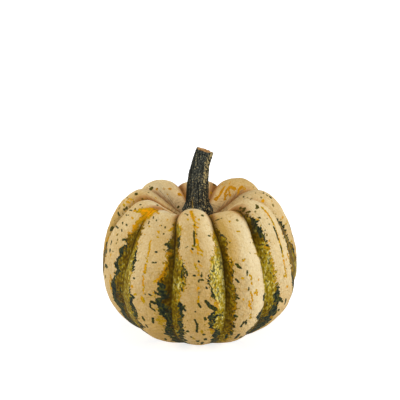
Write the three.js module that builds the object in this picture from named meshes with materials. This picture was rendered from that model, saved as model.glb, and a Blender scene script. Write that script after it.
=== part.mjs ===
// A sweet dumpling squash: a squat fruit of ten swollen ribs that rests on a small flat spot,
// and the dry, curved stem that it was cut with.
//
// Units are millimetres and +Z is up. The origin is on the surface that the squash rests on,
// under the middle of its overall box. Rib A faces -Y, and ribs B to J follow it towards +X
// and round the back.

import * as THREE from "three";

const DEGREE = Math.PI / 180;

// ---- Driving dimensions ---------------------------------------------------------------------

// The profile of a rib's crest, before its own lift and swell. It would reach below z = 0,
// where the skin is flat instead: that is the spot which the squash rests on.
const CREST = {
  equatorRadius: 61.5,
  equatorHeight: 42.5,
  riseAbove: 58.5, // from the equator up to where the crown would be with no hollow
  dropBelow: 46.5, // from the equator down to where the base would be if it weren't flat
  shoulderFullness: 2, // 2 is an ellipse, and more is squarer
  bellyFullness: 2.2,
};
const STEM_HOLLOW = { depth: 25, radius: 27, steepness: 3.5 };
const STEM_SEAT = { height: 73, radius: 10.5, blend: 3 }; // the hollow's flat floor
const BLOSSOM_DIMPLE = { depth: 6.5, radius: 13 };

// How deep the grooves are, as a share of a rib's half width, and how sharp they are, from a
// round valley at 0 to a crease at 1, at angles down the profile from the crown.
const GROOVE_STATIONS = [
  { angle: 0, depth: 0.05, sharpness: 1 },
  { angle: 12, depth: 0.1, sharpness: 1 },
  { angle: 20, depth: 0.5, sharpness: 1 },
  { angle: 28, depth: 0.6, sharpness: 1 },
  { angle: 40, depth: 0.45, sharpness: 1 },
  { angle: 63, depth: 0.32, sharpness: 0.9 },
  { angle: 92, depth: 0.15, sharpness: 0.7 },
  { angle: 130, depth: 0.11, sharpness: 0.35 },
  { angle: 160, depth: 0.09, sharpness: 0.25 },
  { angle: 180, depth: 0.05, sharpness: 0.2 },
];
const CREASE_SPAN = 0.985; // how much of a half circle a rib spans between two creases

// Each rib ends at a groove, whose azimuth at the shoulder and at the belly is in degrees from
// -Y towards +X. Lift raises the rib's shoulder and swell its belly, in millimetres.
const RIBS = [
  { name: "A", shoulderGroove: 12, bellyGroove: 15.5, lift: 3.5, swell: 2 },
  { name: "B", shoulderGroove: 46, bellyGroove: 41.5, lift: -4.5, swell: 5 },
  { name: "C", shoulderGroove: 71, bellyGroove: 83, lift: 4.5, swell: 2 },
  { name: "D", shoulderGroove: 112, bellyGroove: 114, lift: 3, swell: 0.5 },
  { name: "E", shoulderGroove: 160, bellyGroove: 158, lift: 2.5, swell: 3 },
  { name: "F", shoulderGroove: 203, bellyGroove: 200, lift: -2, swell: 0.5 },
  { name: "G", shoulderGroove: 251, bellyGroove: 241, lift: 1, swell: 1.5 },
  { name: "H", shoulderGroove: 275, bellyGroove: 266, lift: 2, swell: 1.5 },
  { name: "I", shoulderGroove: 304, bellyGroove: 310, lift: -1.5, swell: -1 },
  { name: "J", shoulderGroove: 338, bellyGroove: 344.5, lift: -7.5, swell: 2.5 },
];
const GROOVE_DRIFT = { from: 32, to: 68 }; // where a groove leaves one azimuth for the other
const LIFT = { angle: 43, spread: 20 };
const SWELL = { angle: 97, spread: 30 };

// The stem: its centreline above the seat, and its sections at shares of its length.
const STEM_GAP = 0.3; // between the seat and the stem's foot
const STEM_LINE = [
  [-0.9, 0, 0],
  [-0.9, 0, 8],
  [-0.9, 0, 16],
  [-0.5, 0.1, 26],
  [1.1, 0.5, 35],
  [3.6, 1.2, 43],
];
const STEM_STATIONS = [
  { share: 0, radius: 8.2, ridge: 0.6 },
  { share: 0.06, radius: 9.1, ridge: 0.8 },
  { share: 0.12, radius: 9.5, ridge: 0.9 },
  { share: 0.15, radius: 9.2, ridge: 0.8 },
  { share: 0.19, radius: 8.1, ridge: 0.6 },
  { share: 0.23, radius: 7, ridge: 0.5 },
  { share: 0.32, radius: 6.7, ridge: 0.5 },
  { share: 0.46, radius: 6.5, ridge: 0.5 },
  { share: 0.63, radius: 5.9, ridge: 0.5 },
  { share: 0.8, radius: 5.5, ridge: 0.5 },
  { share: 1, radius: 5.3, ridge: 0.5 },
];
const STEM_RIDGES = 5;
const STEM_TWIST = 16; // degrees that the ridges turn between foot and tip
const CUT_END = { rimWidth: 1.1, dish: 0.6 }; // the dried pith lies below the cut rim

const MESH = { stepsAcrossRib: 12, fruitRings: 34, stemSides: 40, stemRings: 24 };

// ---- Helpers --------------------------------------------------------------------------------

const range = (count) => Array.from({ length: count }, (_, index) => index);

// One property of a list of stations, at a place between two of them.
function between(stations, key, place, property) {
  const next = stations.findIndex((station) => station[key] >= place);
  if (next === -1) return stations.at(-1)[property];
  if (next === 0) return stations[0][property];
  const [a, b] = [stations[next - 1], stations[next]];
  const share = (place - a[key]) / (b[key] - a[key]);
  return THREE.MathUtils.lerp(a[property], b[property], share);
}

// A closed surface through rings of points, from the top ring down to the bottom one, with a
// point that closes each end. Each ring runs anticlockwise seen from above.
function closedSurface(topPoint, rings, bottomPoint) {
  const sides = rings[0].length;
  const points = [topPoint, ...rings.flat(), bottomPoint];
  const at = (ring, side) => 1 + ring * sides + (side % sides);
  const last = points.length - 1;
  const triangles = [];
  for (const side of range(sides)) {
    triangles.push(0, at(0, side), at(0, side + 1));
    triangles.push(last, at(rings.length - 1, side + 1), at(rings.length - 1, side));
  }
  for (const ring of range(rings.length - 1)) {
    for (const side of range(sides)) {
      triangles.push(at(ring, side), at(ring + 1, side), at(ring + 1, side + 1));
      triangles.push(at(ring, side), at(ring + 1, side + 1), at(ring, side + 1));
    }
  }
  const geometry = new THREE.BufferGeometry().setFromPoints(points);
  geometry.setIndex(triangles);
  geometry.computeVertexNormals();
  return geometry;
}

// ---- The fruit ------------------------------------------------------------------------------

// The squared-off ellipse that the crests follow before the hollow and the dimple. Its x is
// the distance from the fruit's axis and its y the height.
function baseProfile(angle) {
  const across = Math.sin(angle * DEGREE);
  const up = Math.cos(angle * DEGREE);
  const fullness = up > 0 ? CREST.shoulderFullness : CREST.bellyFullness;
  const reach = up > 0 ? CREST.riseAbove : CREST.dropBelow;
  const size = (Math.abs(across) ** fullness + Math.abs(up) ** fullness) ** (1 / fullness);
  const radius = (CREST.equatorRadius * across) / size;
  return new THREE.Vector2(radius, CREST.equatorHeight + (reach * up) / size);
}

function profileNormal(angle) {
  const step = 0.1;
  const tangent = baseProfile(angle + step).sub(baseProfile(angle - step)).normalize();
  return new THREE.Vector2(-tangent.y, tangent.x);
}

// The height that the hollow takes from the crown, or the dimple gives to the base.
function endHeight(angle, radius) {
  if (angle > 90) return BLOSSOM_DIMPLE.depth * Math.exp(-((radius / BLOSSOM_DIMPLE.radius) ** 2));
  const outward = (radius / STEM_HOLLOW.radius) ** STEM_HOLLOW.steepness;
  return -STEM_HOLLOW.depth * Math.exp(-outward);
}

const bell = (angle, { angle: centre, spread }) => Math.exp(-(((angle - centre) / spread) ** 2));

// The azimuths of the two grooves beside a rib, in degrees, at an angle down the profile.
function grooveAzimuths(rib, angle) {
  const drift = THREE.MathUtils.smoothstep(angle, GROOVE_DRIFT.from, GROOVE_DRIFT.to);
  const azimuth = (index) => {
    const { shoulderGroove, bellyGroove } = RIBS.at(index);
    return THREE.MathUtils.lerp(shoulderGroove, bellyGroove, drift);
  };
  return [azimuth(rib - 1) - (rib === 0 ? 360 : 0), azimuth(rib)];
}

// How far the skin has fallen towards the groove, from 0 on the crest to 1 in the groove.
function fallToGroove(across, sharpness) {
  const circle = (x) => 1 - Math.sqrt(1 - (CREASE_SPAN * x) ** 2);
  const crease = circle(across) / circle(1);
  const valley = 0.5 - 0.5 * Math.cos(Math.PI * across);
  return THREE.MathUtils.lerp(valley, crease, sharpness);
}

// A point of the skin, at a place across a rib from -1 to 1 and an angle down the profile.
// A groove's depth goes by the rib's half width, so that it fades out where the ribs meet.
function skinPoint(rib, across, angle) {
  const [from, to] = grooveAzimuths(rib, angle);
  const halfSpan = (to - from) / 2;
  const profile = baseProfile(angle);

  const halfWidth = profile.x * Math.tan(halfSpan * DEGREE);
  const depth = halfWidth * between(GROOVE_STATIONS, "angle", angle, "depth");
  const sharpness = between(GROOVE_STATIONS, "angle", angle, "sharpness");
  const growth = RIBS[rib].lift * bell(angle, LIFT) + RIBS[rib].swell * bell(angle, SWELL);
  const raised = growth * (1 - across ** 2) - depth * fallToGroove(across, sharpness);

  const point = profile.clone().addScaledVector(profileNormal(angle), raised);
  point.y = Math.max(point.y + endHeight(angle, profile.x), 0);
  if (angle < 90) {
    const { height, radius, blend } = STEM_SEAT;
    const offSeat = THREE.MathUtils.smoothstep(profile.x, radius, radius + blend);
    point.y = THREE.MathUtils.lerp(height, point.y, offSeat);
  }
  const azimuth = (from + to) / 2 + halfSpan * across;
  const turn = azimuth * DEGREE;
  return new THREE.Vector3(point.x * Math.sin(turn), -point.x * Math.cos(turn), point.y);
}

// A plain rib's crest from the stem seat to the blossom end, used to space the rings evenly.
class CrestLine extends THREE.Curve {
  getPoint(share) {
    const angle = 180 * share;
    const profile = baseProfile(angle);
    return new THREE.Vector3(profile.x, 0, profile.y + endHeight(angle, profile.x));
  }
}

function makeFruit() {
  const crest = new CrestLine();
  const angles = range(MESH.fruitRings).map(
    (ring) => 180 * crest.getUtoTmapping((ring + 1) / (MESH.fruitRings + 1)),
  );
  // The steps across a rib are closer together towards its grooves.
  const steps = range(MESH.stepsAcrossRib).map((step) => {
    const even = (2 * step) / MESH.stepsAcrossRib - 1;
    return 0.35 * even + 0.65 * Math.sin((Math.PI / 2) * even);
  });
  const rings = angles.map((angle) =>
    RIBS.flatMap((_, rib) => steps.map((across) => skinPoint(rib, across, angle))),
  );
  const crown = new THREE.Vector3(0, 0, STEM_SEAT.height);
  const baseHeight = CREST.equatorHeight - CREST.dropBelow + BLOSSOM_DIMPLE.depth;
  const fruit = new THREE.Mesh(
    closedSurface(crown, rings, new THREE.Vector3(0, 0, baseHeight)),
    new THREE.MeshStandardMaterial({ color: 0xdcc391, roughness: 0.45, metalness: 0 }),
  );
  fruit.name = "fruit";
  return fruit;
}

// ---- The stem -------------------------------------------------------------------------------

// A ring across the stem at a share of its length, made smaller by an inset and moved back
// down the stem by a drop.
function stemRing(line, share, inset = 0, drop = 0) {
  const centre = line.getPointAt(share);
  const along = line.getTangentAt(share);
  centre.addScaledVector(along, -drop);
  const upright = new THREE.Vector3(0, 0, 1);
  const turn = new THREE.Quaternion().setFromUnitVectors(upright, along);
  const radius = between(STEM_STATIONS, "share", share, "radius") - inset;
  const ridge = between(STEM_STATIONS, "share", share, "ridge");
  return range(MESH.stemSides).map((side) => {
    const azimuth = (360 * side) / MESH.stemSides;
    const ridgePhase = STEM_RIDGES * (azimuth - STEM_TWIST * share) * DEGREE;
    const reach = radius + ridge * Math.cos(ridgePhase);
    const flat = new THREE.Vector3(reach * Math.sin(azimuth * DEGREE), 0, 0);
    flat.y = -reach * Math.cos(azimuth * DEGREE);
    return flat.applyQuaternion(turn).add(centre);
  });
}

function makeStem() {
  const line = new THREE.CatmullRomCurve3(STEM_LINE.map((point) => new THREE.Vector3(...point)));
  const { rimWidth, dish } = CUT_END;
  const pith = stemRing(line, 1, rimWidth, dish);
  const sides = range(MESH.stemRings).map((ring) => stemRing(line, 1 - ring / (MESH.stemRings - 1)));
  const pithCentre = line.getPointAt(1).addScaledVector(line.getTangentAt(1), -dish);
  const stem = new THREE.Mesh(
    closedSurface(pithCentre, [pith, ...sides], line.getPointAt(0)),
    new THREE.MeshStandardMaterial({ color: 0x4e4b39, roughness: 0.9, metalness: 0 }),
  );
  stem.name = "stem";
  stem.position.z = STEM_SEAT.height + STEM_GAP;
  return stem;
}

// ---- The squash -----------------------------------------------------------------------------

const squash = new THREE.Group();
squash.add(makeFruit(), makeStem());

// The middle of the overall box goes over the origin.
const middle = new THREE.Box3().setFromObject(squash).getCenter(new THREE.Vector3());
squash.position.set(-middle.x, -middle.y, 0);

export default squash;
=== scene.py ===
"""A sweet dumpling squash in a plain studio: its mottled, ribbed rind and its dry stem."""

import math
import random

import bpy
import numpy as np
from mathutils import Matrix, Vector


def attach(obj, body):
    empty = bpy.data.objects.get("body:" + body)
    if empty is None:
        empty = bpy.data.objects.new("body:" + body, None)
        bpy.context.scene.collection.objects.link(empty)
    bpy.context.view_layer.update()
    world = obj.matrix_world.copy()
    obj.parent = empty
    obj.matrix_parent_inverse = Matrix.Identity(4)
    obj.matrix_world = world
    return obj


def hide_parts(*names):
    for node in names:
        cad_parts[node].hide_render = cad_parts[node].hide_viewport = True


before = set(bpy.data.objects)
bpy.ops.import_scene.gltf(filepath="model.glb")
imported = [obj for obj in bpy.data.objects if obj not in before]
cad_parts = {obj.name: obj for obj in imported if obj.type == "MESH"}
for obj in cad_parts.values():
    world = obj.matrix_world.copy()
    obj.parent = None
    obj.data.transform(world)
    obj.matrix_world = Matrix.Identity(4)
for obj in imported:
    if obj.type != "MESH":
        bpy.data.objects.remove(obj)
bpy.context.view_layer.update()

MM = 0.001


def tint(red, green, blue):
    """A colour as a shader takes it, from its everyday 0 to 255 values."""
    def linear(value):
        share = value / 255
        return share / 12.92 if share < 0.04045 else ((share + 0.055) / 1.055) ** 2.4
    return (linear(red), linear(green), linear(blue), 1)


# ---- Studio ---------------------------------------------------------------------------------

def make_camera():
    """Looks at the squash from the front, from a little above it, through a long lens."""
    distance = 0.9
    above = math.radians(20.5)
    aim_above_squash = math.radians(2.54)  # leaves room over the stem
    belly = Vector((0.0005, 0.0007, 0.0425))
    data = bpy.data.cameras.new("camera")
    data.lens = 129.6
    data.sensor_width = 36
    camera = bpy.data.objects.new("camera", data)
    away = Vector((0, -math.cos(above), math.sin(above)))
    camera.location = belly + distance * away
    camera.rotation_euler = (math.pi / 2 - above + aim_above_squash, 0, 0)
    bpy.context.scene.collection.objects.link(camera)
    bpy.context.scene.camera = camera


def make_lamp(name, place, watts):
    """A broad, round, white lamp that points at the squash's middle."""
    data = bpy.data.lights.new(name, "AREA")
    data.shape = "DISK"
    data.size = 0.8
    data.energy = watts
    lamp = bpy.data.objects.new(name, data)
    lamp.location = place
    middle = Vector((0, 0, 0.045))
    lamp.rotation_euler = (middle - Vector(place)).to_track_quat("-Z", "Y").to_euler()
    bpy.context.scene.collection.objects.link(lamp)


def make_floor():
    """A white floor that looks evenly white, apart from the squash's own soft shadow."""
    bpy.ops.mesh.primitive_plane_add(size=8, location=(0, 0, 0))
    floor = bpy.context.active_object
    floor.name = "floor"
    finish = Finish("white_floor")
    finish.set(base_color=tint(218, 218, 218), roughness=0.9)
    seen_by_camera = finish.number("LightPath", {}, "Is Camera Ray")
    strength = 0.22 + seen_by_camera * 0.55
    glow = finish.node("Emission", {"Color": (1, 1, 1, 1), "Strength": strength})
    both = finish.node("AddShader", {0: finish.shader.outputs[0], 1: glow.outputs[0]})
    output = finish.tree.nodes["Material Output"]
    finish.tree.links.new(both.outputs[0], output.inputs["Surface"])
    floor.data.materials.append(finish.material)


def make_studio():
    world = bpy.data.worlds.new("studio")
    bpy.context.scene.world = world
    world.use_nodes = True
    background = world.node_tree.nodes["Background"]
    background.inputs["Color"].default_value = (1, 1, 1, 1)
    background.inputs["Strength"].default_value = 0.3
    make_floor()
    make_lamp("left", (-1.3, -0.25, 0.5), 8)
    make_lamp("right", (1.15, -0.5, 0.5), 9)
    make_lamp("top", (-0.1, 0.1, 1.4), 6.5)
    bpy.context.scene.view_settings.view_transform = "Standard"
    make_camera()


# ---- Materials ------------------------------------------------------------------------------

class Number:
    """A number that varies over a finish's surface. Sums and products of it are more nodes."""

    def __init__(self, finish, socket):
        self.finish = finish
        self.socket = socket

    def __add__(self, other):
        return self.finish.math("ADD", self, other)

    def __sub__(self, other):
        return self.finish.math("SUBTRACT", self, other)

    def __rsub__(self, other):
        return self.finish.math("SUBTRACT", other, self)

    def __mul__(self, other):
        return self.finish.math("MULTIPLY", self, other)

    def __abs__(self):
        return self.finish.math("ABSOLUTE", self)

    __radd__ = __add__
    __rmul__ = __mul__

    def fade(self, start, end):
        """0 before the start and 1 after the end, with a smooth step between them."""
        inputs = {"Value": self, "From Min": start, "From Max": end}
        return self.finish.number("MapRange", inputs, interpolation_type="SMOOTHSTEP")


class Finish:
    """A material, built from nodes. Its places and sizes are in millimetres."""

    def __init__(self, name):
        self.material = bpy.data.materials.new(name)
        self.material.use_nodes = True
        self.tree = self.material.node_tree
        self.shader = self.tree.nodes["Principled BSDF"]

    def plug(self, socket, value):
        if isinstance(value, Number):
            value = value.socket
        if isinstance(value, bpy.types.NodeSocket):
            self.tree.links.new(value, socket)
        else:
            socket.default_value = value

    def set(self, **inputs):
        for name, value in inputs.items():
            self.plug(self.shader.inputs[name.replace("_", " ").title()], value)

    def node(self, kind, inputs, **settings):
        node = self.tree.nodes.new("ShaderNode" + kind)
        for setting, value in settings.items():
            setattr(node, setting, value)
        for socket, value in inputs.items():
            self.plug(node.inputs[socket], value)
        return node

    def number(self, kind, inputs, output=0, **settings):
        return Number(self, self.node(kind, inputs, **settings).outputs[output])

    def math(self, operation, first, second=0.0):
        return self.number("Math", {0: first, 1: second}, operation=operation)

    def numbers_of(self, value, kind="XYZ"):
        """The three numbers that a place or a colour is made of."""
        return [Number(self, part) for part in self.node("Separate" + kind, {0: value}).outputs]

    def place(self, x, y, z):
        return self.node("CombineXYZ", {"X": x, "Y": y, "Z": z}).outputs[0]

    def coats(self, colour, *coats):
        """A colour with others over it, one after another, each with its share."""
        for share, over in coats:
            node = self.node("Mix", {0: share, 6: colour, 7: over}, data_type="RGBA")
            colour = node.outputs[2]
        return colour

    def ramp(self, value, stops):
        """Colours at places from 0 to 1."""
        node = self.node("ValToRGB", {"Fac": value})
        elements = node.color_ramp.elements
        while len(elements) < len(stops):
            elements.new(1)
        for element, (place, colour) in zip(elements, stops):
            element.position = place
            element.color = colour
        return node.outputs[0]

    def attribute(self, name):
        return self.number("Attribute", {}, "Fac", attribute_name=name)

    def map(self, name):
        return self.node("UVMap", {}, uv_map=name).outputs["UV"]

    def stretched(self, place, size):
        shares = [1 / along for along in size]
        return self.node("VectorMath", {0: place, 1: shares}, operation="MULTIPLY").outputs[0]

    def whole(self):
        """Places in the squash itself, in millimetres."""
        return self.stretched(self.node("TexCoord", {}).outputs["Object"], (MM, MM, MM))

    def noise(self, place, size, detail, seed):
        """Soft noise from about -1 to 1, whose lumps have the size given."""
        moved = self.node("VectorMath", {0: self.stretched(place, size), 1: (seed, seed, seed)})
        inputs = {"Vector": moved.outputs[0], "Scale": 1.0, "Detail": detail}
        return (self.number("TexNoise", inputs, "Fac") - 0.5) * 5.0

    def bump(self, height, strength):
        """The slopes of a relief whose height is in millimetres."""
        inputs = {"Height": height, "Distance": MM, "Strength": strength}
        return self.node("Bump", inputs).outputs[0]


# ---- Grids of the CAD solids ----------------------------------------------------------------

def copy_of_node(node, name):
    """A copy of a CAD node with its shared vertices merged, as the active object."""
    bpy.ops.object.select_all(action="DESELECT")
    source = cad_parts[node]
    piece = bpy.data.objects.new(name, source.data.copy())
    piece.data.name = name
    piece.data.materials.clear()
    bpy.context.scene.collection.objects.link(piece)
    bpy.context.view_layer.objects.active = piece
    piece.select_set(True)
    bpy.ops.object.mode_set(mode="EDIT")
    bpy.ops.mesh.select_all(action="SELECT")
    bpy.ops.mesh.remove_doubles(threshold=0.005 * MM)
    bpy.ops.object.mode_set(mode="OBJECT")
    return piece


def select_edges(piece, wanted):
    """Selects the edges whose two vertices are wanted, and stays in edit mode."""
    bpy.ops.object.mode_set(mode="EDIT")
    bpy.ops.mesh.select_mode(type="EDGE")
    bpy.ops.mesh.select_all(action="DESELECT")
    bpy.ops.object.mode_set(mode="OBJECT")
    for edge in piece.data.edges:
        edge.select = bool(wanted(*edge.vertices))
    bpy.ops.object.mode_set(mode="EDIT")


class Grid:
    """The rings and columns of a closed CAD solid, from its top pole down to its bottom one."""

    def __init__(self, mesh):
        self.points = np.array([vertex.co for vertex in mesh.vertices])
        beside = [set() for _ in mesh.vertices]
        for edge in mesh.edges:
            a, b = edge.vertices
            beside[a].add(b)
            beside[b].add(a)
        poles = sorted(range(len(beside)), key=lambda vertex: len(beside[vertex]))[-2:]
        self.bottom, self.top = sorted(poles, key=lambda vertex: self.points[vertex][2])
        ring = sorted(beside[self.top], key=self.azimuth)
        self.rings, seen = [ring], {self.top, *ring}
        while True:
            # A vertex touches two of the next ring: the one below it, and the one ahead of that.
            below = [beside[vertex] - seen for vertex in ring]
            if below[0] == {self.bottom}:
                break
            behind = below[-1:] + below[:-1]
            ring = [min(here & last) for here, last in zip(below, behind)]
            self.rings.append(ring)
            seen.update(ring)

    def azimuth(self, vertex):
        """Degrees from -Y towards +X, round the top pole."""
        x, y, _ = self.points[vertex] - self.points[self.top]
        return math.degrees(math.atan2(x, -y))

    def start_rings_at(self, azimuth):
        """Turns the rings so that the first column leaves the top pole at an azimuth."""
        off = [abs(self.azimuth(vertex) - azimuth) for vertex in self.rings[0]]
        start = off.index(min(off))
        self.rings = [ring[start:] + ring[:start] for ring in self.rings]

    def levels(self):
        """The number of the ring that each vertex is in, from the top."""
        return {vertex: number for number, ring in enumerate(self.rings) for vertex in ring}

    def columns(self):
        """How far round its ring each vertex is."""
        return {vertex: number for ring in self.rings for number, vertex in enumerate(ring)}

    def make_quads(self, piece):
        """Dissolves the diagonals, so that the piece becomes a grid of quads."""
        level, column = self.levels(), self.columns()

        def is_diagonal(a, b):
            inside = a in level and b in level
            return inside and level[a] != level[b] and column[a] != column[b]

        select_edges(piece, is_diagonal)
        bpy.ops.mesh.dissolve_edges(use_verts=False)
        bpy.ops.object.mode_set(mode="OBJECT")


def apply_modifier(piece, kind, **settings):
    modifier = piece.modifiers.new(kind.lower(), kind)
    for setting, value in settings.items():
        setattr(modifier, setting, value)
    bpy.ops.object.modifier_apply(modifier=modifier.name)


# ---- The rind's markings --------------------------------------------------------------------

RIBS = "ABCDEFGHIJ"  # from the front rib towards +X and round the back
FIRST_GROOVE = -22  # where the groove before rib A leaves the stem, in degrees from -Y

# A place on a rib is given across it, from -1 in the groove on its left through 0 on its crest
# to 1 in the groove on its right, and down it, from 0 at the stem to 1 at the blossom end.

# The green band along a groove, on one rib's side of it. Each station has its place down the
# rib, where the band's edge lies across the rib, how wide its dark margin is in millimetres,
# and the band's tone, from 0, near black, through olive to 1, yellow.
PLAIN_SIDE = [
    (0.25, 1.0, 0, 0.2), (0.29, 0.88, 1, 0.25), (0.33, 0.8, 2, 0.3), (0.37, 0.76, 2, 0.4),
    (0.41, 0.68, 2, 0.5), (0.45, 0.64, 1, 0.55), (0.49, 0.6, 2, 0.55), (0.53, 0.56, 3, 0.5),
    (0.57, 0.48, 4, 0.5), (0.61, 0.44, 5, 0.45), (0.65, 0.5, 5, 0.4), (0.69, 0.5, 5, 0.35),
    (0.75, 0.6, 4, 0.35), (0.81, 0.64, 4, 0.35), (0.88, 0.75, 3, 0.3), (0.96, 1.05, 1, 0.3),
]
# The last stations, on the underside, which many sides share.
UNDER = [(0.76, 0.6, 6, 0.3), (0.88, 0.75, 5, 0.3), (0.96, 1.05, 1, 0.3)]
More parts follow.
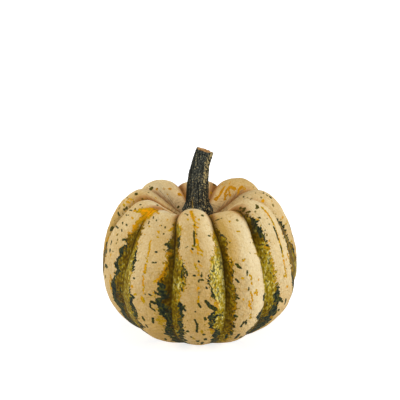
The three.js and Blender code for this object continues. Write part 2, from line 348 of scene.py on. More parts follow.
# Each rib's left side and right side, where they aren't plain.
BAND_SIDES = {
    "A": (
        [(0.25, 1.0, 0, 0.3), (0.27, 0.74, 0, 0.7), (0.285, 0.56, 0, 0.7), (0.305, 0.6, 0, 0.5),
         (0.32, 0.74, 2, 0.3), (0.37, 0.75, 0, 0.55), (0.39, 0.66, 0, 0.7), (0.405, 0.5, 1.4, 0.6),
         (0.43, 0.53, 1.8, 0.5), (0.45, 0.45, 0.8, 0.6), (0.48, 0.5, 0.4, 0.65), (0.495, 0.62, 0, 0.6),
         (0.525, 0.72, 0, 0.55), (0.535, 0.53, 4, 0.5), (0.56, 0.5, 5, 0.5), (0.6, 0.57, 4, 0.55),
         (0.64, 0.6, 4, 0.5), (0.68, 0.66, 3, 0.5), (0.72, 0.7, 3, 0.45), *UNDER],
        [(0.26, 1.0, 0, 0.3), (0.29, 0.84, 0, 0.6), (0.32, 0.73, 0, 0.65), (0.355, 0.7, 0, 0.6),
         (0.375, 0.6, 0, 0.75), (0.39, 0.46, 0, 0.8), (0.42, 0.4, 0, 0.88), (0.45, 0.33, 1.6, 0.85),
         (0.47, 0.38, 1.6, 0.85), (0.5, 0.44, 2.2, 0.85), (0.53, 0.6, 0, 0.85), (0.555, 0.56, 1, 0.8),
         (0.57, 0.38, 5, 0.7), (0.6, 0.32, 5, 0.65), (0.625, 0.36, 3, 0.7), (0.65, 0.6, 3, 0.6),
         (0.68, 0.6, 5, 0.4), (0.71, 0.54, 4, 0.4), *UNDER],
    ),
    "B": (
        [(0.27, 0.95, 0, 0.3), (0.3, 0.74, 1, 0.4), (0.32, 0.6, 1, 0.5), (0.335, 0.58, 1.2, 0.45),
         (0.35, 0.72, 1, 0.25), (0.38, 0.72, 0, 0.3), (0.41, 0.62, 0.5, 0.3), (0.44, 0.66, 1, 0.3),
         (0.46, 0.72, 0.5, 0.35), (0.49, 0.62, 0.8, 0.35), (0.53, 0.6, 0.8, 0.35), (0.58, 0.64, 0.5, 0.35),
         (0.62, 0.58, 1.2, 0.35), (0.66, 0.6, 1, 0.45), (0.7, 0.52, 0.5, 0.55), (0.74, 0.5, 0, 0.6),
         (0.8, 0.6, 1, 0.5), (0.88, 0.75, 2, 0.3), (0.96, 1.05, 1, 0.3)],
        [(0.305, 1.0, 0, 0.8), (0.33, 0.86, 0, 0.85), (0.37, 0.8, 0, 0.8), (0.4, 0.75, 0, 0.8),
         (0.415, 0.96, 0, 0.8), (0.5, 0.99, 0, 0.5), (0.52, 0.9, 2, 0.4), (0.53, 0.62, 4, 0.4),
         (0.545, 0.66, 4, 0.5), (0.56, 0.9, 1, 0.8), (0.575, 0.72, 2, 0.5), (0.585, 0.42, 6, 0.4),
         (0.6, 0.38, 6, 0.4), (0.62, 0.62, 3, 0.6), (0.64, 0.3, 3, 0.5), (0.67, 0.2, 4, 0.45),
         (0.71, 0.45, 4, 0.4), *UNDER],
    ),
    "C": (
        [(0.23, 1.0, 0, 0.3), (0.25, 0.88, 1, 0.3), (0.27, 0.76, 1, 0.4), (0.285, 0.68, 4.5, 0.3),
         (0.31, 0.72, 4.5, 0.3), (0.335, 0.6, 5, 0.35), (0.36, 0.66, 1, 0.5), (0.38, 0.64, 0, 0.6),
         (0.43, 0.6, 0, 0.7), (0.5, 0.59, 0, 0.65), (0.53, 0.53, 3, 0.6), (0.555, 0.5, 4, 0.6),
         (0.58, 0.42, 4.5, 0.5), (0.6, 0.45, 6, 0.5), (0.63, 0.36, 8, 0.4), (0.65, 0.48, 8, 0.3),
         (0.67, 0.3, 9, 0.2), (0.71, 0.4, 9, 0.25), (0.77, 0.5, 9, 0.3), *UNDER[1:]],
        [(0.24, 1.0, 0, 0.2), (0.28, 0.8, 1, 0.3), (0.3, 0.66, 2, 0.3), (0.315, 0.3, 4, 0.35),
         (0.34, 0.17, 2, 0.35), (0.37, 0.12, 2, 0.3), (0.45, 0.08, 1, 0.3), (0.5, 0.08, 1, 0.3),
         (0.54, 0.1, 3, 0.3), (0.58, 0.3, 4, 0.35), (0.66, 0.45, 4, 0.3), *UNDER],
    ),
    "D": (
        [(0.25, 1.0, 0, 0.2), (0.3, 0.86, 1, 0.3), (0.36, 0.76, 3, 0.35), (0.385, 0.82, 1, 0.4),
         (0.42, 0.84, 2, 0.35), (0.45, 0.66, 3, 0.4), (0.48, 0.7, 1, 0.4), (0.51, 0.54, 1, 0.5),
         (0.56, 0.5, 1, 0.6), (0.62, 0.48, 4, 0.4), (0.68, 0.5, 5, 0.3), *UNDER],
        PLAIN_SIDE,
    ),
    "H": (
        PLAIN_SIDE,
        [(0.41, 1.0, 0, 0.3), (0.44, 0.94, 0, 0.4), (0.48, 0.86, 1, 0.5), (0.51, 0.76, 2, 0.5),
         (0.55, 0.62, 3, 0.5), (0.6, 0.5, 5, 0.45), (0.66, 0.45, 5, 0.4), *UNDER],
    ),
    "I": (
        [(0.26, 1.0, 0, 0.1), (0.31, 0.84, 1, 0.15), (0.36, 0.64, 1, 0.2), (0.4, 0.4, 1, 0.2),
         (0.42, 0.26, 1, 0.2), (0.44, 0.08, 1, 0.2), (0.46, 0.06, 0, 0.25), (0.5, 0.1, 1, 0.3),
         (0.54, 0.12, 1, 0.4), (0.58, 0.3, 3, 0.3), (0.66, 0.45, 5, 0.3), *UNDER],
        [(0.295, 1.0, 0, 0.5), (0.315, 0.88, 0, 0.5), (0.33, 0.8, 0, 0.5), (0.345, 0.68, 1, 0.4),
         (0.365, 0.6, 2, 0.4), (0.38, 0.76, 1, 0.35), (0.4, 0.57, 3, 0.4), (0.42, 0.64, 2, 0.4),
         (0.435, 0.6, 3, 0.4), (0.455, 0.5, 5, 0.45), (0.475, 0.63, 4, 0.45), (0.487, 0.6, 3, 0.45),
         (0.5, 0.6, 2, 0.36), (0.52, 0.42, 4, 0.34), (0.535, 0.42, 6, 0.32), (0.57, 0.45, 7, 0.25),
         (0.605, 0.4, 7, 0.28), (0.63, 0.58, 4, 0.3), (0.66, 0.42, 7, 0.25), (0.71, 0.5, 9, 0.2),
         (0.78, 0.55, 9, 0.25), *UNDER[1:]],
    ),
    "J": (
        [(0.265, 1.0, 0, 0.1), (0.285, 0.87, 0, 0.15), (0.3, 0.84, 0, 0.3), (0.33, 0.74, 1, 0.4),
         (0.36, 0.7, 0, 0.5), (0.385, 0.56, 2, 0.6), (0.405, 0.46, 3, 0.65), (0.43, 0.44, 2, 0.7),
         (0.445, 0.36, 2, 0.7), (0.46, 0.48, 0, 0.65), (0.5, 0.47, 1, 0.6), (0.525, 0.42, 2, 0.6),
         (0.535, 0.2, 4, 0.58), (0.55, 0.36, 3, 0.58), (0.57, 0.24, 5, 0.56), (0.6, 0.24, 4, 0.56),
         (0.62, 0.36, 2, 0.56), (0.645, 0.16, 4, 0.5), (0.67, 0.4, 3, 0.5), (0.72, 0.5, 4, 0.4), *UNDER],
        [(0.24, 1.0, 0, 0.3), (0.262, 0.82, 1, 0.3), (0.28, 0.94, 0, 0.5), (0.31, 0.84, 1, 0.5),
         (0.335, 0.64, 2, 0.5), (0.36, 0.68, 1, 0.4), (0.39, 0.7, 0, 0.3), (0.44, 0.66, 0, 0.25),
         (0.46, 0.54, 0, 0.3), (0.48, 0.58, 4, 0.3), (0.5, 0.5, 7, 0.2), (0.52, 0.58, 7, 0.2),
         (0.54, 0.46, 4, 0.2), (0.555, 0.58, 7, 0.2), (0.58, 0.6, 7, 0.15), (0.6, 0.74, 4, 0.15),
         (0.625, 0.76, 4, 0.15), (0.645, 0.66, 6, 0.2), (0.68, 0.56, 6, 0.2), (0.72, 0.7, 4, 0.2), *UNDER],
    ),
}

# Marks with a place of their own. Each has where it starts, across and down the rib, then where
# it ends, and its width in millimetres.
GOLD_MARKS = {
    "A": [
        (-0.12, 0.225, -0.07, 0.245, 2.8), (-0.07, 0.245, -0.01, 0.263, 2.2),
        (0.02, 0.268, 0.06, 0.285, 1.4), (0.07, 0.287, 0.15, 0.288, 1.3), (0.08, 0.25, 0.12, 0.25, 1.2),
        (0.2, 0.258, 0.26, 0.26, 1.3), (0.12, 0.27, 0.2, 0.274, 1.2), (-0.3, 0.258, -0.26, 0.261, 1.2),
        (-0.05, 0.283, 0.0, 0.287, 1.1), (-0.2, 0.345, -0.14, 0.346, 1.2), (0.05, 0.326, 0.06, 0.34, 1.0),
        (0.02, 0.268, -0.01, 0.345, 1.1), (-0.06, 0.348, 0.04, 0.358, 1.8), (0.06, 0.352, 0.18, 0.362, 1.3),
        (-0.27, 0.36, -0.2, 0.37, 1.0), (0.0, 0.366, 0.03, 0.372, 1.3), (0.12, 0.372, 0.16, 0.376, 1.0),
        (-0.13, 0.4, -0.1, 0.415, 1.3), (-0.03, 0.42, 0.0, 0.435, 1.4), (0.04, 0.403, 0.09, 0.41, 1.3),
        (-0.05, 0.485, 0.0, 0.475, 1.3), (0.44, 0.632, 0.5, 0.645, 1.8), (0.54, 0.64, 0.6, 0.655, 1.9),
        (0.5, 0.655, 0.56, 0.665, 1.6), (0.1, 0.63, 0.16, 0.65, 1.4), (-0.25, 0.675, -0.15, 0.69, 1.4),
        (0.6, 0.53, 0.66, 0.55, 2.6), (0.0, 0.503, -0.01, 0.528, 1.4),
    ],
    "B": [
        (-0.06, 0.253, -0.03, 0.254, 1.6), (0.14, 0.298, 0.24, 0.298, 1.5),
        (-0.16, 0.401, -0.06, 0.398, 1.5), (0.0, 0.45, 0.06, 0.455, 1.3), (0.06, 0.455, 0.03, 0.475, 1.4),
        (-0.36, 0.457, -0.29, 0.456, 1.3), (-0.27, 0.49, -0.2, 0.491, 1.2), (-0.06, 0.5, 0.0, 0.51, 1.3),
        (0.0, 0.515, 0.02, 0.53, 1.4), (0.14, 0.507, 0.18, 0.506, 1.6), (0.24, 0.5, 0.26, 0.512, 2.0),
        (-0.12, 0.53, -0.1, 0.545, 1.9), (-0.06, 0.55, 0.0, 0.555, 1.6), (-0.02, 0.575, 0.0, 0.59, 1.4),
        (0.42, 0.47, 0.48, 0.47, 1.1),
    ],
    "C": [
        (-0.14, 0.26, -0.12, 0.285, 1.9), (-0.12, 0.285, -0.14, 0.335, 1.6),
        (-0.14, 0.335, -0.18, 0.38, 1.4), (-0.19, 0.38, -0.22, 0.43, 1.5), (-0.23, 0.44, -0.21, 0.5, 1.4),
        (-0.31, 0.487, -0.3, 0.496, 1.5), (-0.22, 0.53, -0.19, 0.535, 1.7), (-0.5, 0.645, -0.4, 0.652, 2.0),
        (0.0, 0.43, 0.05, 0.47, 1.2),
    ],
    "D": [
        (-0.66, 0.243, -0.6, 0.243, 2.3), (-0.62, 0.338, -0.55, 0.338, 1.6),
        (-0.7, 0.362, -0.35, 0.37, 1.1), (-0.7, 0.43, -0.62, 0.433, 1.4),
    ],
    "E": [
        (-0.42, 0.117, -0.38, 0.121, 2.4), (-0.27, 0.129, -0.06, 0.137, 1.7),
        (-0.12, 0.141, -0.08, 0.148, 2.3), (-0.6, 0.142, -0.42, 0.144, 2.0),
        (-0.3, 0.148, -0.26, 0.15, 1.6), (-0.33, 0.135, -0.33, 0.138, 1.3), (0.25, 0.105, 0.25, 0.157, 2.6),
        (0.28, 0.108, 0.5, 0.115, 2.0), (-0.12, 0.155, -0.1, 0.162, 2.4), (-0.48, 0.17, -0.2, 0.164, 2.2),
        (-0.74, 0.178, -0.64, 0.181, 2.5), (-0.62, 0.186, -0.58, 0.195, 2.6),
        (-0.73, 0.207, -0.68, 0.199, 1.4), (0.04, 0.175, 0.08, 0.185, 1.2),
    ],
    "G": [
        (-0.62, 0.138, -0.42, 0.13, 2.2), (0.22, 0.168, 0.32, 0.167, 1.4), (0.55, 0.187, 0.65, 0.189, 1.6),
        (-0.12, 0.157, -0.02, 0.157, 1.8),
    ],
    "H": [
        (0.55, 0.263, 0.74, 0.253, 1.5), (0.6, 0.277, 0.82, 0.267, 1.6), (0.6, 0.293, 0.7, 0.291, 1.9),
        (0.38, 0.285, 0.46, 0.284, 1.2), (0.92, 0.43, 0.88, 0.47, 1.8),
    ],
    "I": [
        (1.0, 0.221, 1.0, 0.263, 4.6), (0.7, 0.245, 0.96, 0.236, 5.0), (0.8, 0.252, 0.98, 0.25, 3.6),
        (0.46, 0.252, 0.75, 0.247, 3.6), (0.12, 0.266, 0.5, 0.259, 2.0), (0.95, 0.262, 0.84, 0.285, 3.6),
        (0.84, 0.285, 0.82, 0.32, 3.0), (0.7, 0.31, 0.74, 0.312, 1.9), (0.38, 0.289, 0.48, 0.289, 1.3),
        (0.68, 0.34, 0.73, 0.338, 1.7), (0.36, 0.51, 0.42, 0.52, 2.0), (0.34, 0.53, 0.4, 0.56, 1.8),
    ],
    "J": [
        (-0.96, 0.21, -0.96, 0.25, 5.0), (-1.0, 0.25, -1.0, 0.28, 3.0), (-0.8, 0.215, -0.5, 0.22, 1.7),
        (-0.88, 0.235, -0.82, 0.225, 2.4), (-0.13, 0.335, -0.08, 0.35, 1.3), (-0.08, 0.35, 0.0, 0.382, 1.6),
        (0.0, 0.382, 0.06, 0.412, 1.4), (0.05, 0.42, 0.07, 0.446, 1.9), (0.04, 0.46, 0.08, 0.48, 1.4),
        (0.09, 0.485, 0.13, 0.51, 1.4), (0.06, 0.526, 0.12, 0.538, 2.6), (-0.38, 0.501, -0.32, 0.5, 1.5),
        (-0.24, 0.523, -0.18, 0.521, 1.8), (0.07, 0.293, 0.11, 0.296, 2.2),
        (-0.54, 0.285, -0.48, 0.285, 1.3), (0.12, 0.317, 0.17, 0.318, 1.3), (0.5, 0.602, 0.58, 0.606, 2.6),
        (0.6, 0.612, 0.72, 0.608, 2.8), (0.56, 0.592, 0.68, 0.596, 1.7), (0.52, 0.62, 0.6, 0.624, 1.5),
        (0.68, 0.283, 0.78, 0.28, 2.0), (0.78, 0.276, 0.88, 0.27, 1.8), (0.72, 0.41, 0.68, 0.45, 1.4),
        (0.42, 0.47, 0.52, 0.462, 1.6), (0.6, 0.455, 0.66, 0.44, 1.4), (0.72, 0.37, 0.84, 0.372, 1.8),
        (0.44, 0.505, 0.4, 0.52, 1.3),
    ],
}
DARK_MARKS = {
    "A": [
        (-0.47, 0.351, -0.39, 0.347, 0.9), (-0.05, 0.299, -0.09, 0.324, 1.5),
        (-0.09, 0.329, -0.11, 0.345, 1.4), (-0.22, 0.354, -0.18, 0.355, 1.3),
        (-0.45, 0.232, -0.27, 0.243, 1.1), (0.42, 0.24, 0.46, 0.239, 1.9), (0.55, 0.31, 0.62, 0.31, 1.4),
        (0.0, 0.279, 0.02, 0.281, 1.2), (0.03, 0.309, 0.07, 0.309, 1.1), (0.0, 0.392, 0.02, 0.394, 1.4),
        (-0.45, 0.427, -0.42, 0.438, 1.6), (-0.19, 0.438, -0.14, 0.438, 1.5), (0.1, 0.43, 0.09, 0.443, 1.3),
        (0.0, 0.457, 0.03, 0.45, 1.3), (0.04, 0.451, 0.15, 0.452, 1.3), (0.25, 0.474, 0.27, 0.478, 1.5),
        (0.03, 0.487, 0.02, 0.498, 1.1), (0.0, 0.528, 0.06, 0.54, 1.6), (-0.13, 0.555, -0.1, 0.556, 1.2),
        (-0.13, 0.584, -0.09, 0.597, 1.4), (-0.05, 0.6, -0.07, 0.638, 1.6), (0.22, 0.578, 0.24, 0.586, 1.8),
        (-0.44, 0.646, -0.4, 0.643, 2.1), (-0.31, 0.671, -0.28, 0.675, 1.6),
        (0.18, 0.653, 0.22, 0.657, 1.9), (0.27, 0.685, 0.3, 0.697, 2.2), (-0.06, 0.7, -0.04, 0.71, 2.2),
        (0.17, 0.715, 0.16, 0.745, 2.0), (-0.5, 0.553, -0.47, 0.556, 1.8), (0.25, 0.521, 0.38, 0.537, 2.2),
        (0.38, 0.537, 0.6, 0.553, 2.8), (-0.66, 0.71, -0.6, 0.72, 3.0), (-0.58, 0.41, -0.56, 0.42, 1.2),
        (-0.64, 0.425, -0.62, 0.445, 1.4), (-0.57, 0.462, -0.52, 0.466, 1.4),
        (-0.6, 0.48, -0.58, 0.49, 1.3),
    ],
    "B": [
        (-0.78, 0.241, -0.56, 0.235, 1.2), (-0.45, 0.233, -0.38, 0.232, 1.0),
        (-0.5, 0.41, -0.42, 0.413, 1.6), (-0.42, 0.418, -0.34, 0.423, 1.9),
        (-0.13, 0.448, -0.08, 0.436, 1.4), (-0.6, 0.457, -0.5, 0.466, 1.5),
        (-0.15, 0.496, -0.11, 0.486, 1.2), (-0.6, 0.514, -0.54, 0.518, 1.4),
        (-0.66, 0.578, -0.57, 0.581, 1.8), (-0.26, 0.6, -0.33, 0.622, 1.6),
        (-0.17, 0.593, -0.13, 0.612, 1.2), (-0.63, 0.655, -0.57, 0.672, 2.0),
        (-0.75, 0.675, -0.7, 0.71, 1.6), (-0.24, 0.665, -0.18, 0.705, 2.3), (0.06, 0.695, 0.16, 0.705, 2.6),
    ],
    "C": [
        (-0.46, 0.252, -0.4, 0.25, 1.2), (-0.36, 0.251, -0.29, 0.247, 2.2),
        (-0.59, 0.281, -0.55, 0.283, 1.5), (-0.35, 0.315, -0.31, 0.316, 1.2),
        (-0.19, 0.33, -0.21, 0.372, 1.6), (-0.21, 0.392, -0.21, 0.408, 1.4),
        (-0.25, 0.413, -0.24, 0.418, 1.3), (-0.88, 0.212, -0.83, 0.208, 1.6),
        (-0.9, 0.229, -0.78, 0.225, 1.7), (-0.84, 0.243, -0.77, 0.246, 1.6),
        (-0.66, 0.362, -0.61, 0.36, 1.3), (-0.68, 0.374, -0.62, 0.376, 1.4),
        (-0.54, 0.524, -0.51, 0.526, 1.5), (-0.52, 0.565, -0.4, 0.575, 3.0),
        (-0.4, 0.575, -0.3, 0.585, 1.8), (0.0, 0.21, 0.3, 0.205, 1.1), (-0.16, 0.58, -0.12, 0.6, 1.8),
        (-0.35, 0.617, -0.3, 0.62, 1.8),
    ],
    "D": [
        (-0.42, 0.169, -0.05, 0.164, 1.4), (-0.3, 0.206, -0.18, 0.205, 1.1),
        (-0.68, 0.204, -0.62, 0.203, 1.6), (-0.24, 0.26, -0.16, 0.26, 2.3),
        (-0.22, 0.231, -0.13, 0.232, 1.2),
    ],
    "F": [(-0.86, 0.213, -0.82, 0.205, 1.4)],
    "G": [
        (0.6, 0.207, 0.7, 0.211, 2.3), (0.61, 0.227, 0.66, 0.225, 1.1), (0.35, 0.087, 0.6, 0.087, 1.5),
    ],
    "H": [
        (0.41, 0.231, 0.5, 0.231, 2.3), (0.28, 0.27, 0.36, 0.269, 1.1), (0.86, 0.287, 0.88, 0.292, 1.5),
        (0.84, 0.301, 0.87, 0.302, 1.4), (0.7, 0.33, 0.84, 0.332, 1.9), (0.9, 0.388, 0.85, 0.4, 2.3),
        (0.9, 0.452, 0.93, 0.462, 1.8),
    ],
    "I": [
        (0.04, 0.236, 0.12, 0.235, 1.5), (0.05, 0.258, 0.12, 0.259, 1.5), (-0.25, 0.276, -0.04, 0.27, 1.3),
        (-0.25, 0.296, -0.08, 0.295, 1.1), (0.0, 0.29, 0.06, 0.289, 1.1), (0.02, 0.322, 0.13, 0.325, 1.4),
        (0.34, 0.32, 0.42, 0.32, 1.4), (-0.38, 0.351, 0.02, 0.347, 1.4), (0.26, 0.344, 0.33, 0.346, 1.4),
        (0.02, 0.398, 0.06, 0.406, 2.0), (0.13, 0.424, 0.16, 0.43, 2.0), (0.3, 0.423, 0.36, 0.422, 1.1),
        (-0.22, 0.445, -0.1, 0.442, 2.4), (0.02, 0.487, 0.14, 0.486, 2.6), (0.5, 0.174, 0.72, 0.183, 1.3),
        (0.56, 0.37, 0.64, 0.365, 1.8),
    ],
    "J": [
        (-0.6, 0.244, -0.57, 0.25, 1.1), (-0.36, 0.248, -0.34, 0.254, 1.0),
        (-0.68, 0.267, -0.66, 0.277, 1.0), (0.08, 0.265, 0.1, 0.266, 1.0), (0.35, 0.269, 0.37, 0.273, 1.4),
        (0.39, 0.298, 0.42, 0.301, 1.3), (0.27, 0.374, 0.32, 0.373, 1.5), (0.25, 0.41, 0.4, 0.408, 1.2),
        (-0.36, 0.472, -0.3, 0.472, 1.3), (0.16, 0.513, 0.2, 0.512, 1.1), (0.3, 0.511, 0.36, 0.514, 1.2),
        (0.33, 0.543, 0.35, 0.556, 1.4), (0.4, 0.561, 0.47, 0.567, 1.5), (-0.4, 0.6, -0.5, 0.616, 1.2),
        (-0.27, 0.603, -0.35, 0.622, 1.2), (-0.02, 0.6, 0.01, 0.612, 1.9), (0.36, 0.598, 0.32, 0.617, 1.9),
        (0.0, 0.635, 0.01, 0.65, 1.5), (-0.3, 0.645, -0.2, 0.655, 2.6), (0.35, 0.74, 0.42, 0.725, 1.6),
        (0.62, 0.34, 0.73, 0.336, 2.3), (0.36, 0.535, 0.5, 0.54, 1.8), (0.82, 0.345, 0.9, 0.35, 2.2),
        (0.88, 0.385, 0.95, 0.38, 2.0),
    ],
}

# How ripe the ground colour is at places down a rib, on its left, on its crest and on its
# right: 0 is tan, 0.5 cream and 1 the palest cream. The values also hold painted light and shade:
# paler on the sides that face the lamps and where a neighbouring rib shades the skin, and tan
# where the skin faces the front.
PLAIN_GROUND_AND_LIGHT = [(0.1, 0.5, 0.5, 0.5), (0.3, 0.5, 0.6, 0.5), (0.5, 0.4, 0.5, 0.4), (0.7, 0.2, 0.2, 0.2)]
GROUNDS_AND_LIGHT = {
    "A": [(0.2, 0.5, 0.5, 0.8), (0.3, 0.5, 0.4, 0.85), (0.4, 0.35, 0.3, 0.7), (0.5, 0.25, 0.1, 0.3),
          (0.6, 0.25, 0.12, 0.2), (0.72, 0.4, 0.25, 0.35)],
    "B": [(0.15, 0.4, 0.5, 0.2), (0.22, 0.3, 0.5, 0.6), (0.27, -0.1, 0.6, 1), (0.35, -0.2, 0.75, 1),
          (0.4, 0.0, 0.85, 1), (0.46, 0.35, 0.85, 0.95), (0.6, 0.3, 0.5, 0.8), (0.72, 0.2, 0.2, 0.5)],
    "C": [(0.15, 0.4, 0.5, 0.4), (0.25, 0.6, 0.8, 0.7), (0.4, 0.8, 0.8, 0.7), (0.55, 0.65, 0.6, 0.5),
          (0.7, 0.2, 0.2, 0.2)],
    "E": [(0.07, 0.8, 0.8, 0.8), (0.12, 0.5, 0.5, 0.6), (0.18, 0.3, 0.2, 0.3), (0.3, 0.5, 0.5, 0.5),
          *PLAIN_GROUND_AND_LIGHT[2:]],
    "G": [(0.1, 1.2, 1.1, 0.9), (0.15, 0.7, 0.7, 0.8), *PLAIN_GROUND_AND_LIGHT[1:]],
    "H": [(0.1, 0.5, 0.5, 0.5), (0.25, 0.5, 0.5, 0.4), (0.36, 0.4, 0.5, 0.1), (0.45, 0.3, 0.4, 0.0),
          (0.55, 0.4, 0.5, 0.3), (0.7, 0.2, 0.2, 0.2)],
    "I": [(0.1, 0.7, 0.7, 0.7), (0.14, 0.9, 0.7, 0.9), (0.19, 1.4, 0.6, 1.0), (0.23, 0.6, 0.55, 0.5),
          (0.45, 0.35, 0.5, 0.5), (0.58, 0.2, 0.45, 0.4), (0.7, 0.2, 0.2, 0.2)],
    "J": [(0.15, 1.3, 0.5, 0.9), (0.195, 1.2, 0.5, 0.8), (0.22, 0.6, 0.5, 0.4), (0.35, 0.65, 0.5, 0.3),
          (0.45, 0.6, 0.5, 0.15), (0.6, 0.3, 0.25, 0.1), (0.72, 0.1, 0.1, 0.1)],
}

# How brown the crease after a rib is, from 0 to 1, at places down it: partly the skin's own brown and
# partly painted shade in the groove's depth.
PLAIN_CREASE_BROWN_AND_SHADE = [(0.06, 0.2), (0.2, 0.3), (0.4, 0.3), (0.55, 0.0)]
CREASES_BROWN_AND_SHADE = {
    "A": [(0.18, 0.2), (0.23, 0.9), (0.45, 0.8), (0.6, 0.1)],
    "B": [(0.17, 0.2), (0.22, 0.8), (0.38, 0.7), (0.5, 0.1)],
    "I": [(0.245, 0.0), (0.28, 0.45), (0.31, 0.8), (0.4, 0.8), (0.5, 0.3), (0.6, 0.1)],
    "J": [(0.18, 0.2), (0.24, 1.0), (0.34, 1.0), (0.42, 0.6), (0.6, 0.2)],
}

# How far a place may be outside and inside a band or a mark, in millimetres.
FAR = -4.0
DEEP = 8.0


class RindGrid:
    """Where the ribs' lines run on the fruit's grid, and how wide the ribs are."""

    def __init__(self, grid):
        self.grid = grid
        grid.start_rings_at(FIRST_GROOVE)
        self.columns = len(grid.rings[0])
        self.per_rib = self.columns // len(RIBS)
        turns = np.unwrap(np.radians([grid.azimuth(vertex) for vertex in grid.rings[0]]))
        turns = np.append(turns, turns[0] + 2 * math.pi)
        grooves = turns[:: self.per_rib]
        self.place_round = np.interp(turns, grooves, np.arange(len(RIBS) + 1))
        points = grid.points[np.array(grid.rings)]
        steps = np.linalg.norm(np.roll(points, -1, axis=1) - points, axis=2) / MM
        self.half_widths = steps.reshape(len(grid.rings), len(RIBS), -1).sum(axis=2).T / 2
        crest = [grid.top, *(ring[self.per_rib // 2] for ring in grid.rings), grid.bottom]
        self.length = np.linalg.norm(np.diff(grid.points[crest], axis=0), axis=1).sum() / MM
        self.downs = np.arange(1, len(grid.rings) + 1) / (len(grid.rings) + 1)

    def half_width(self, rib, down):
        """In millimetres, narrowing to nothing at the stem and at the blossom end."""
        return np.interp(down, [0, *self.downs, 1], [0, *self.half_widths[rib], 0])

    def spot(self, rib, across, down):
        """Millimetres across from the crest, and down from the stem."""
        return across * self.half_width(rib, down), down * self.length

    def map_onto(self, mesh):
        """Adds two maps: places round and down the fruit, and millimetres on its ribs."""
        level_of, column_of = self.grid.levels(), self.grid.columns()
        places = mesh.uv_layers.new(name="places")
        skin = mesh.uv_layers.new(name="skin")
        for face in mesh.polygons:
            columns = [column_of[vertex] for vertex in face.vertices if vertex in column_of]
            wraps = max(columns) - min(columns) > self.per_rib
            ahead = [column or self.columns for column in columns] if wraps else columns
            middle = self.place_round[ahead].mean()
            rib = int(middle)
            for corner, vertex in zip(face.loop_indices, face.vertices):
                if vertex in column_of:
                    column = column_of[vertex]
                    if wraps and column == 0:
                        column = self.columns
                    around = self.place_round[column]
                    down = self.downs[level_of[vertex]]
                else:
                    around = middle
                    down = 0 if vertex == self.grid.top else 1
                places.data[corner].uv = (around, down)
                skin.data[corner].uv = self.spot(rib, 2 * (around - rib) - 1, down)


def places_on(mesh):
    """Each vertex's place round the fruit, in ribs, and down it."""
    corners = len(mesh.loops)
    vertex = np.empty(corners, dtype=int)
    mesh.loops.foreach_get("vertex_index", vertex)
    uv = np.empty(2 * corners)
    mesh.uv_layers["places"].data.foreach_get("uv", uv)
    place = np.empty((len(mesh.vertices), 2))
    place[vertex] = uv.reshape(-1, 2)
    return place


def add_rings(fruit, first, last):
    """Halves the gaps between the rings where the small marks are, so that they stay crisp."""
    place = places_on(fruit.data)

    def runs_down_there(a, b):
        (around, down), (next_around, next_down) = place[a], place[b]
        runs_down = abs(around - next_around) < 0.001 and abs(down - next_down) > 0.001
        return runs_down and first < min(down, next_down) and max(down, next_down) < last

    select_edges(fruit, runs_down_there)
    bpy.ops.mesh.subdivide(number_cuts=1, smoothness=1, quadcorner="INNERVERT")
    bpy.ops.object.mode_set(mode="OBJECT")


def store(mesh, name, values):
    attribute = mesh.attributes.new(name, "FLOAT", "POINT")
    attribute.data.foreach_set("value", values.astype(np.float32))


def stroke(x, y, start, end, width):
    """How far each place is inside a round-ended stroke, in millimetres."""
    (x0, y0), (x1, y1) = start, end
    length = max((x1 - x0) ** 2 + (y1 - y0) ** 2, 1e-6)
    along = np.clip(((x - x0) * (x1 - x0) + (y - y0) * (y1 - y0)) / length, 0, 1)
    gap = np.hypot(x - x0 - along * (x1 - x0), y - y0 - along * (y1 - y0))
    return width / 2 - gap


def scattered_marks(chance, count, first, last):
    """Short dashes along a rib, between two places down it."""
    dark_share, spread = 0.68, 0.55
    marks = []
    for _ in range(count):
        colour = "dark" if chance.random() < dark_share else "gold"
        across = chance.uniform(-spread, spread)
        down = chance.uniform(first, last)
        length = chance.uniform(0.002, 0.022)
        lean = chance.uniform(-0.3, 0.9) * length
        width = chance.uniform(1.1, 2.1)
        marks.append((colour, across, down, across + lean * 4, down + length, width))
    return marks


def varied(stations, chance):
    """A plain band's stations, each a little off, since no two bands are alike."""
    changed = []
    for down, edge, margin, tone in stations:
        edge *= chance.uniform(0.78, 1.18) if edge < 1 else 1
        changed.append((down, edge, margin * chance.uniform(0, 1.3), tone + chance.uniform(-0.1, 0.2)))
    return changed


def all_band_sides():
    chance = random.Random(5)
    sides = {}
    for name in RIBS:
        both = BAND_SIDES.get(name, (PLAIN_SIDE, PLAIN_SIDE))
        sides[name] = [varied(side, chance) if side is PLAIN_SIDE else side for side in both]
    return sides


def all_marks():
    """The marks with places of their own, and dashes scattered over the rest of the rind."""
    chance = random.Random(12)
    marks = {}
    for name in RIBS:
        # The ribs at the back have dashes nearly all over, and the others on the underside only.
        count, first = 9, 0.77
        if name in "DH":
            count, first = 44, 0.32
        if name in "EFG":
            count, first = 44, 0.24
        placed = [("gold", *mark) for mark in GOLD_MARKS.get(name, [])]
        placed += [("dark", *mark) for mark in DARK_MARKS.get(name, [])]
        marks[name] = placed + scattered_marks(chance, count, first, last=0.9)
    return marks


def ripeness_and_light(name, across, down):
    """How ripe the ground is at places on a rib, with painted light and shade in it."""
    crest_half = 0.6
    groove_ripe, groove_share = 0.35, 0.7  # the ground is the same on both sides of a groove
    downs, *sides = zip(*GROUNDS_AND_LIGHT.get(name, PLAIN_GROUND_AND_LIGHT))
    left, crest, right = (np.interp(down, downs, side) for side in sides)
    side = np.where(across < 0, left, right)
    off_crest = np.abs(across)
    ripe_and_lit = crest + (side - crest) * np.clip(off_crest / crest_half, 0, 1)
    to_groove = np.clip((off_crest - crest_half) / (1 - crest_half), 0, 1) * groove_share
    return ripe_and_lit + (groove_ripe - ripe_and_lit) * to_groove


